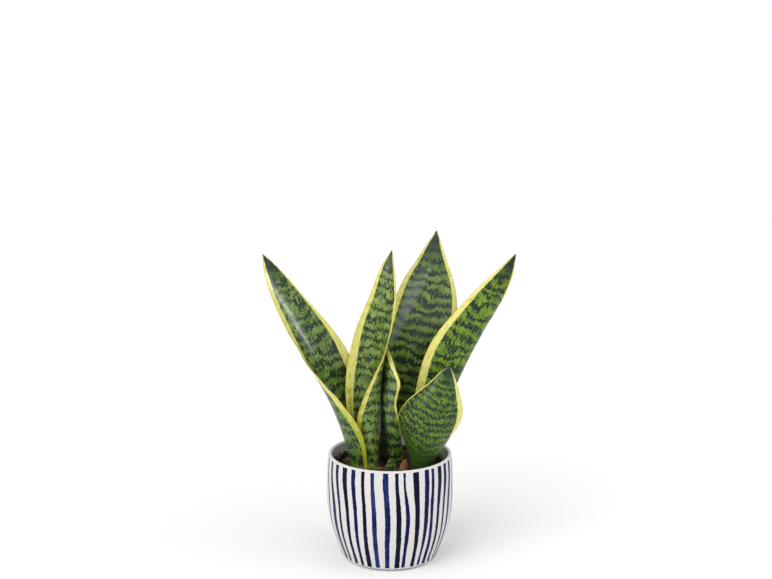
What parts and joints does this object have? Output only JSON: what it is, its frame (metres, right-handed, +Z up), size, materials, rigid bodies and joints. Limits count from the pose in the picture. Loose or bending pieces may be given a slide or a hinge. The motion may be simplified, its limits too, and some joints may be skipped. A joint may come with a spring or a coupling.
{
  "type": "potted snake plant",
  "caption": "Variegated snake plant with upright sword-shaped leaves in a nursery pot, set in a striped glazed ceramic pot with a flat foot.",
  "frame": {"origin": "centre of the ceramic pot's flat foot, on the surface it stands on", "axes": "+Z up; -Y towards the viewer, so the leaves fan out to the left (-X) and right (+X)"},
  "size_m": [0.2531, 0.13, 0.3381],
  "materials": {
    "glazed_pot": "glossy white glaze with hand-painted vertical indigo stripes of uneven width",
    "black_plastic": "matt black moulded plastic",
    "soil": "dark fibrous peat and bark compost, rough",
    "root_flesh": "pale fleshy rhizome and roots, slightly waxy",
    "leaf": "waxy green leaf with ragged dark cross bands and pale yellow margins",
    "scale_leaf_green": "small waxy green scale leaf with pale edges",
    "dry_sheath": "dry papery brown sheath",
    "bark": "rough orange-brown bark chip",
    "coir": "thin brown coir strand"
  },
  "bodies": {
    "root": {"ceramic_pot": "glazed_pot", "nursery_pot": "black_plastic", "potting_soil": "soil", "rhizome": "root_flesh", "leaf_left": "leaf", "leaf_centre_left": "leaf", "leaf_tall": "leaf", "leaf_right": "leaf", "leaf_small_front": "leaf", "green_scale_leaf": "scale_leaf_green", "dry_scale_leaf": "dry_sheath", "root_1": "root_flesh", "root_2": "root_flesh", "root_3": "root_flesh", "root_4": "root_flesh", "bark_chip_1": "bark", "bark_chip_2": "bark", "bark_chip_3": "bark", "bark_chip_4": "bark", "bark_chip_5": "bark", "bark_chip_6": "bark", "coir_strand_1": "coir", "coir_strand_2": "coir", "coir_strand_3": "coir", "coir_strand_4": "coir"}
  },
  "joints": []
}
